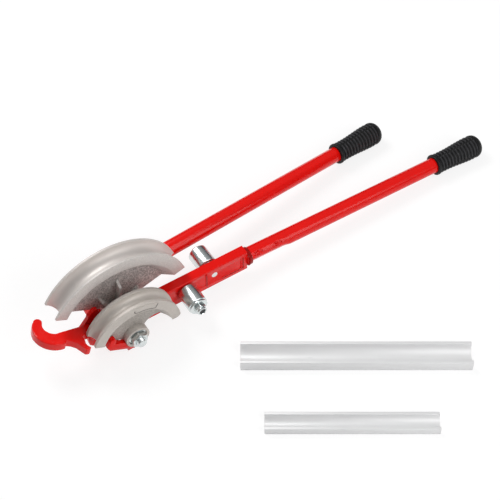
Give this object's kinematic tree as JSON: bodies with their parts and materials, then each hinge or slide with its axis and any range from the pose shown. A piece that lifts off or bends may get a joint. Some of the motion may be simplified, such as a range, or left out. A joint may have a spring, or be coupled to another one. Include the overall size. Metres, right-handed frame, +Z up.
{
  "type": "manual tube bender",
  "caption": "Two-handled lever tube bender with half-moon formers for 22 mm and 15 mm pipe, two rollers, a pipe hook and two loose guides.",
  "frame": {"origin": "on the bench under the pivot's centre, in the middle plane of the lever", "axes": "+Z up from the bench; +X towards the grips, along the lever seen from above; -Y towards the small former"},
  "size_m": [0.6391, 0.4158, 0.1182],
  "materials": {
    "cast_alloy": "rough casting, warm grey",
    "red_paint": "glossy enamel",
    "weld_paint": "glossy enamel over a weld",
    "zinc_plate": "bright zinc plating",
    "bush_bronze": "plain bronze",
    "grip_rubber": "ribbed moulded rubber",
    "guide_alloy": "extruded, lightly satin"
  },
  "bodies": {
    "frame": {"former_22": "cast_alloy", "former_15": "cast_alloy", "stop_bracket": "red_paint", "handle_plate": "red_paint", "fixed_handle_tube": "red_paint", "fixed_handle_grip": "grip_rubber", "pivot_bolt": "zinc_plate", "pivot_nut": "zinc_plate", "pivot_washer_front": "zinc_plate", "pivot_washer_rear": "zinc_plate", "thrust_washer_front": "zinc_plate", "thrust_washer_rear": "zinc_plate", "hook_pin": "red_paint", "guide_22": "guide_alloy", "guide_15": "guide_alloy"},
    "lever": {"lever_channel": "red_paint", "lever_collar": "weld_paint", "lever_tube": "red_paint", "lever_grip": "grip_rubber", "pivot_bush": "bush_bronze", "roller_22_axle": "zinc_plate", "roller_22_inner_washer": "zinc_plate", "roller_22_outer_washer": "zinc_plate", "roller_15_axle": "zinc_plate", "roller_15_inner_washer": "zinc_plate", "roller_15_outer_washer": "zinc_plate", "roller_15_nut": "zinc_plate"},
    "front_roller": {"roller_15": "zinc_plate"},
    "rear_roller": {"roller_22": "zinc_plate"},
    "hook": {"stop_hook": "red_paint"}
  },
  "joints": [
    {"name": "lever_pivot", "type": "hinge", "parent": "frame", "child": "lever", "pos_m": [0, 0, 0.0261], "axis": [0, -1, 0], "range_deg": [0, 125]},
    {"name": "hook_pivot", "type": "hinge", "parent": "frame", "child": "hook", "pos_m": [-0.04339, 0, 0.03095], "axis": [0, 1, 0], "range_deg": [-40, 13]},
    {"name": "front_roller_spin", "type": "hinge", "parent": "lever", "child": "front_roller", "pos_m": [0.07988, -0.021, 0.0305], "axis": [0, 1, 0], "continuous": true},
    {"name": "rear_roller_spin", "type": "hinge", "parent": "lever", "child": "rear_roller", "pos_m": [0.11945, 0.021, 0.032], "axis": [0, 1, 0], "continuous": true}
  ]
}
